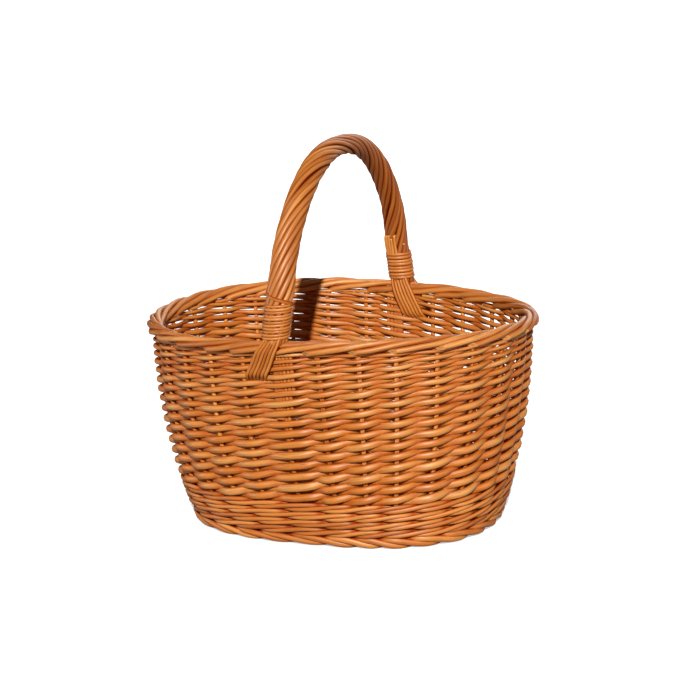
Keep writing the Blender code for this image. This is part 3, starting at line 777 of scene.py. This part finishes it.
def base_pairing():
    """Pairs of thin rods twined round the base sticks, round by round out to the foot."""
    rods = Rods()
    for number in range(PAIRING_ROUNDS):
        share = (number + 0.5) / PAIRING_ROUNDS
        half_length, half_width, power = (low + (high - low) * share for low, high in zip(PAIRING_INNER, PAIRING_OUTER))
        spots = []
        for y in LONG_STICK_ROWS:
            x = half_length * (1.0 - abs(y / half_width) ** power) ** (1.0 / power)
            spots += [math.atan2(y, x), math.atan2(y, -x)]
        for x in SHORT_STICK_ROWS:
            y = half_width * (1.0 - abs(x / half_length) ** power) ** (1.0 / power)
            spots += [math.atan2(y, x), math.atan2(-y, x)]
        spots = np.sort(np.array(spots))
        angles = np.linspace(-math.pi, math.pi, 384, endpoint=False)
        looped = np.concatenate([spots, [spots[0] + 2 * math.pi]])
        angles_in = np.where(angles < spots[0], angles + 2 * math.pi, angles)
        phase = np.interp(angles_in, looped, np.arange(len(looped)))
        c, s = np.cos(angles), np.sin(angles)
        reach = (np.abs(c / half_length) ** power + np.abs(s / half_width) ** power) ** (-1.0 / power)
        for sign in (1.0, -1.0):
            grow = reach + sign * PAIRING_ROD * np.sin(math.pi * phase)
            height = PAIRING_HEIGHT + sign * PAIRING_LIFT * np.cos(math.pi * phase) * (-1.0) ** number
            rods.add(np.column_stack([grow * c, grow * s, height]), PAIRING_ROD, sides=6, closed=True)
    return show(rods, "base_pairing_rods", WEAVER, ["base_weave"], None)


# ---------------------------------------------------------------- handle

def handle_points(turn):
    """Points of the handle's middle line, an arch that is a little squarer than an ellipse."""
    power = 2.0 / HANDLE_SQUARENESS
    c, s = np.cos(turn), np.sin(turn)
    y = -HANDLE_HALF_SPAN * np.sign(c) * np.abs(c) ** power
    z = BORDER_HEIGHT + HANDLE_RISE * np.abs(s) ** power
    return np.column_stack([np.zeros(len(turn)), y, z])


def handle_line(count):
    """The middle line of the handle at equal steps, straight down into the border at both feet."""
    turn = np.linspace(0.0, math.pi, 2001)
    points = handle_points(turn)
    arc = np.concatenate([[0.0], np.cumsum(np.linalg.norm(np.diff(points, axis=0), axis=1))])
    places = np.linspace(0.0, arc[-1], count)
    line = np.column_stack([np.interp(places, arc, points[:, k]) for k in range(3)])
    return line, places


def rope_handle():
    """Rods twisted round the bow, with a core in full painted shade behind the grooves between them."""
    rods = Rods()
    line, places = handle_line(260)
    total = places[-1]
    rise = (line[:, 2] - BORDER_HEIGHT) / HANDLE_RISE
    slim = 1.0 - (1.0 - TOP_SLIMNESS) * np.clip(rise, 0, 1) ** 1.5
    tangent = np.gradient(line, axis=0)
    tangent /= np.linalg.norm(tangent, axis=1, keepdims=True)
    first = np.tile(np.array([1.0, 0.0, 0.0]), (len(line), 1))
    second = np.cross(tangent, first)
    from_end = np.minimum(places, total - places)
    ramp_up = np.clip((from_end - 0.015) / 0.03, 0.0, 1.0)
    rate = (0.3 + 0.7 * ramp_up) * 2.0 * math.pi / ROPE_PITCH
    twist = np.concatenate([[0.0], np.cumsum(0.5 * (rate[1:] + rate[:-1]) * np.diff(places))])
    tuck = np.clip((from_end + 0.004) / 0.012, 0.4, 1.0)
    swell = np.interp(places / total, SWELL_PLACES, LEG_SWELL)
    for number in range(ROPE_RODS):
        own = twist + 2.0 * math.pi * (number + rng.uniform(-0.16, 0.16)) / ROPE_RODS + wander(places, 0.05, 0.16)
        radius = (ROPE_ROD + 0.25 * swell) * slim * rng.uniform(0.90, 1.10) * (1.0 + wander(places, 0.04, 0.2))
        ring = (ROPE_RADIUS - ROPE_ROD + 0.75 * swell) * slim * tuck
        ring = ring + wander(places, 0.0003, 0.12)
        path = line + first * (ring * np.cos(own))[:, None] + second * (ring * np.sin(own))[:, None]
        # the rods darken from before the arch's top to the far foot: painted shade for that darker side
        tone = rng.uniform(0.35, 0.95) - 0.35 * np.clip((places / total - 0.35) / 0.4, 0.0, 1.0)
        facing = first * np.cos(own)[:, None] + second * np.sin(own)[:, None]
        # strong painted shade in the grooves between the rods
        rods.add(path, 1.05 * radius, sides=12, tone=tone, axes=(0.88 * facing, None), edge=2.5)
    # the core: a dark rod in full painted shade, seen only in the grooves
    rods.add(line, (ROPE_RADIUS - 1.5 * ROPE_ROD + 0.75 * swell) * slim, sides=16, tone=0.0, deep=1.0)
    return show(rods, "handle_ropes", HANDLE, ["handle_roping"], handle_unevenness)


def leg_axis(side, height):
    """Y of the middle of one of the handle's legs, at a height that is the border's or more."""
    share = np.clip((np.asarray(height, float) - BORDER_HEIGHT) / HANDLE_RISE, 0.0, 1.0)
    turn = np.arcsin(share ** (0.5 * HANDLE_SQUARENESS))
    y = HANDLE_HALF_SPAN * np.cos(turn) ** (2.0 / HANDLE_SQUARENESS)
    return side * y


def collar(side, high, turns, name, node):
    """A thin rod wound round the leg and the lashing. The near one's last turn slants over the rope."""
    rods = Rods()
    tall = (high - COLLAR_LOW) / turns
    count = 40 * turns
    share = np.linspace(0.0, 1.0, count)
    angle = 2.0 * math.pi * turns * share
    height = COLLAR_LOW + 0.5 * tall + (high - COLLAR_LOW - tall) * share
    height = height + wander(share * turns, 0.00028, 1.7) * np.sin(math.pi * share) ** 0.5
    reach = ROPE_RADIUS + 0.0007 + wander(share * turns, 0.0003, 2.3)
    thick = 0.5 * tall * (0.96 + wander(share * turns, 0.07, 2.9))
    start = math.radians(90)
    middle = leg_axis(side, height)
    path = np.column_stack([reach * np.cos(start + angle), middle + reach * np.sin(start + angle), height])
    out = np.column_stack([np.cos(start + angle), np.sin(start + angle), np.zeros(count)])
    up = np.tile(UP, (count, 1))
    tone = 0.5 + wander(share * turns, 0.3, 3.1)
    # painted shade in the grooves between the turns; the slanting last turn below gets it too
    rods.add(path, 1.0, sides=10, tone=tone, axes=(out * TURN_DEPTH, up * thick[:, None]), edge=1.9)
    if side == NEAR:
        slant = np.linspace(0.0, 1.0, 40)
        sweep = SLANT_START + SLANT_SWEEP * slant
        rise = high + SLANT_RISE - SLANT_DROP * slant
        wide = ROPE_RADIUS + 0.0004 + 0.0008 * slant
        path = np.column_stack([wide * np.cos(sweep), leg_axis(side, rise) + wide * np.sin(sweep), rise])
        rods.add(path, SLANT_ROD, sides=10, tone=0.4, edge=1.5)
    return show(rods, name, BINDING, [node], handle_unevenness)


def cut_tails(rods, side):
    """The lashing rods' upper ends, cut off above the collar, and a peg through the far leg."""
    high = NEAR_COLLAR_HIGH if side == NEAR else FAR_COLLAR_HIGH
    for number, place in enumerate(NEAR_TAILS if side == NEAR else FAR_TAILS):
        turn = math.radians(place)
        tall = LONG_TAIL_HEIGHT if side == NEAR and number == 0 else rng.uniform(*TAIL_HEIGHTS)
        heights = np.linspace(high - 0.004, high + tall, 12)
        reach = ROPE_RADIUS + 0.0004
        middle = leg_axis(side, heights)
        path = np.column_stack([np.full(12, reach * math.cos(turn)), middle + reach * math.sin(turn), heights])
        facing = np.array([math.cos(turn), math.sin(turn), 0.2])
        rods.add(path, TAIL_ROD, sides=8, tone=0.85, cut_end=(facing / np.linalg.norm(facing), TAIL_CUT))
    if side == FAR:
        turn = math.radians(PEG_PLACE)
        out = np.array([math.cos(turn), math.sin(turn), 0.25])
        foot = np.array([0.0, leg_axis(side, high + 0.004), high + 0.004])
        rods.add(np.array([foot + out * reach for reach in PEG_RUN]), PEG_ROD, sides=8)


def fan(side, inner, name, node):
    """Six rods side by side that leave the collar, cross the border slantwise and go through the wall."""
    rods = Rods()
    heights, across, depths, widths = (np.array(row) for row in (INNER_RUN if inner else OUTER_RUN))
    wide = np.interp(heights, (heights[0], *RUN_MIDDLE_HEIGHTS[1:]), widths)
    middle = np.interp(heights, (heights[0], *RUN_MIDDLE_HEIGHTS), RUN_MIDDLES)
    face = -1.0 if inner else 1.0
    y = middle + face * depths
    for number in range(RUN_RODS):
        spot = 2.0 * number / (RUN_RODS - 1) - 1.0
        x = across + spot * wide
        knots = np.column_stack([side * x, side * y, heights])
        steps = np.linspace(0.0, len(knots) - 1, 36)
        path = np.column_stack([np.interp(steps, np.arange(len(knots)), knots[:, k]) for k in range(3)])
        for _ in range(8):
            path[1:-1] = 0.25 * path[:-2] + 0.5 * path[1:-1] + 0.25 * path[2:]
        spacing = 2.0 / (RUN_RODS - 1) * np.interp(path[:, 2], heights, wide)
        radius = np.clip(0.47 * spacing, *RUN_ROD_SIZES) * rng.uniform(0.95, 1.05)
        facing = np.tile(np.array([0.0, face * side, 0.0]), (len(path), 1))
        # painted shade in the grooves between the six rods
        rods.add(path, radius, sides=10, tone=rng.uniform(0.25, 0.7), axes=(facing, None), edge=1.5)
    if inner:
        cut_tails(rods, side)
    return show(rods, name, LASHING, [node], handle_unevenness)


# ---------------------------------------------------------------- build

weave_side()
weave_foot()
upright_stakes()
border_strands()
base_pairing()
rope_handle()
collar(NEAR, NEAR_COLLAR_HIGH, NEAR_TURNS, "near_binding", "near_collar")
collar(FAR, FAR_COLLAR_HIGH, FAR_TURNS, "far_binding", "far_collar")
fan(NEAR, False, "near_outer_fan", "near_outer_lashing")
fan(NEAR, True, "near_inner_fan", "near_inner_lashing")
fan(FAR, False, "far_outer_fan", "far_outer_lashing")
fan(FAR, True, "far_inner_fan", "far_inner_lashing")

for node_name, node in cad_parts.items():
    if "_stick_" in node_name or node_name == "handle_bow":
        for slot_index in range(len(node.material_slots)):
            node.material_slots[slot_index].material = BASE_STICK

# ---------------------------------------------------------------- floor, light, camera

# To the camera the floor and the world are nearly white, like the photo's background. To the basket they are dim, so
# that the lamps alone shape it.
FLOOR_HALF = 60.0


def matte(shader, grey, glow):
    """Makes a shader a plain grey with some light of its own."""
    shader.inputs["Base Color"].default_value = (grey, grey, grey, 1.0)
    shader.inputs["Roughness"].default_value = 0.9
    shader.inputs["Emission Color"].default_value = (1.0, 1.0, 1.0, 1.0)
    shader.inputs["Emission Strength"].default_value = glow


floor_mesh = bpy.data.meshes.new("floor")
floor_corners = [(x * FLOOR_HALF, y * FLOOR_HALF, 0.0) for x, y in ((-1, -1), (1, -1), (1, 1), (-1, 1))]
floor_mesh.from_pydata(floor_corners, [], [(0, 1, 2, 3)])
floor = bpy.data.objects.new("floor", floor_mesh)
bpy.context.scene.collection.objects.link(floor)
floor_material = bpy.data.materials.new("floor")
floor_material.use_nodes = True
floor_tree = floor_material.node_tree
floor_lit = floor_tree.nodes["Principled BSDF"]
floor_seen = floor_tree.nodes.new("ShaderNodeBsdfPrincipled")
matte(floor_lit, 0.26, 0.0)
matte(floor_seen, 0.86, 0.45)
floor_rays = floor_tree.nodes.new("ShaderNodeLightPath")
floor_mix = floor_tree.nodes.new("ShaderNodeMixShader")
link(floor_tree, floor_rays.outputs["Is Camera Ray"], floor_mix.inputs["Fac"])
link(floor_tree, floor_lit.outputs["BSDF"], floor_mix.inputs[1])
link(floor_tree, floor_seen.outputs["BSDF"], floor_mix.inputs[2])
link(floor_tree, floor_mix.outputs[0], floor_tree.nodes["Material Output"].inputs["Surface"])
floor_mesh.materials.append(floor_material)

WORLD_LIGHT = 0.08
world = bpy.data.worlds.new("studio")
world.use_nodes = True
world_tree = world.node_tree
world_tree.nodes["Background"].inputs["Color"].default_value = (1.0, 1.0, 1.0, 1.0)
world_rays = world_tree.nodes.new("ShaderNodeLightPath")
world_strength = math_node(world_tree, "MAXIMUM", world_rays.outputs["Is Camera Ray"], WORLD_LIGHT)
link(world_tree, world_strength, world_tree.nodes["Background"].inputs["Strength"])
bpy.context.scene.world = world


def unit(vector):
    """The vector at length 1."""
    return vector / np.linalg.norm(vector)


def aim(azimuth, elevation, distance, target):
    """A place at angles in degrees from a target, and the direction from the target to it. Azimuth 0 is at -Y."""
    turn, rise = math.radians(azimuth), math.radians(elevation)
    away = np.array([math.sin(turn) * math.cos(rise), -math.cos(turn) * math.cos(rise), math.sin(rise)])
    return np.array(target) + away * distance, away


def set_axes(thing, place, right, up, back):
    """Puts a lamp or camera at a place, with its X, Y and Z along three directions."""
    thing.matrix_world = Matrix((
        (right[0], up[0], back[0], place[0]),
        (right[1], up[1], back[1], place[1]),
        (right[2], up[2], back[2], place[2]),
        (0.0, 0.0, 0.0, 1.0),
    ))


LAMP_DISTANCE = 3.0
LAMP_TARGET = (0.0, 0.0, 0.15)
FILL_COLOUR = (1.0, 0.96, 0.92)


def lamp(kind, name, azimuth, elevation, size, power, colour=FILL_COLOUR):
    """A lamp aimed at the basket. size is a sun's spread in degrees, or a disk's diameter."""
    data = bpy.data.lights.new(name, kind)
    if kind == "SUN":
        data.angle = math.radians(size)
    else:
        data.shape = "DISK"
        data.size = size
    data.energy = power
    data.color = colour
    thing = bpy.data.objects.new(name, data)
    bpy.context.scene.collection.objects.link(thing)
    place, away = aim(azimuth, elevation, LAMP_DISTANCE, LAMP_TARGET)
    right = unit(np.cross(UP, away))
    set_axes(thing, place, right, np.cross(away, right), away)


lamp("SUN", "key", 23, 28, 1.0, 4.5, (1.0, 0.975, 0.93))
lamp("AREA", "left_fill", -72, 0, 0.6, 23)
lamp("AREA", "right_fill", 95, 2, 0.8, 15)
lamp("AREA", "back_fill", 190, 20, 2.4, 36)

# The camera looks past the basket's middle by a hair and is rolled a little, as the photo's was.
CAMERA_TARGET = (0.0, 0.0, 0.190)
CAMERA_AZIMUTH = 23.8
CAMERA_ELEVATION = 12.6
CAMERA_DISTANCE = 2.60
CAMERA_ROLL = math.radians(2.25)
LOOK_RIGHT = 0.00117
LOOK_DOWN = 0.00339
LENS = 131.74

camera_place, away = aim(CAMERA_AZIMUTH, CAMERA_ELEVATION, CAMERA_DISTANCE, CAMERA_TARGET)
level = unit(np.cross(UP, away))
upright = np.cross(away, level)
right = math.cos(CAMERA_ROLL) * level - math.sin(CAMERA_ROLL) * upright
up = math.sin(CAMERA_ROLL) * level + math.cos(CAMERA_ROLL) * upright
forward = unit(-away + right * LOOK_RIGHT - up * LOOK_DOWN)
right = unit(np.cross(forward, up))
camera_data = bpy.data.cameras.new("camera")
camera_data.sensor_width = 36.0
camera_data.lens = LENS
camera = bpy.data.objects.new("camera", camera_data)
bpy.context.scene.collection.objects.link(camera)
set_axes(camera, camera_place, right, np.cross(right, forward), -forward)
bpy.context.scene.camera = camera
bpy.context.scene.view_settings.view_transform = "Standard"
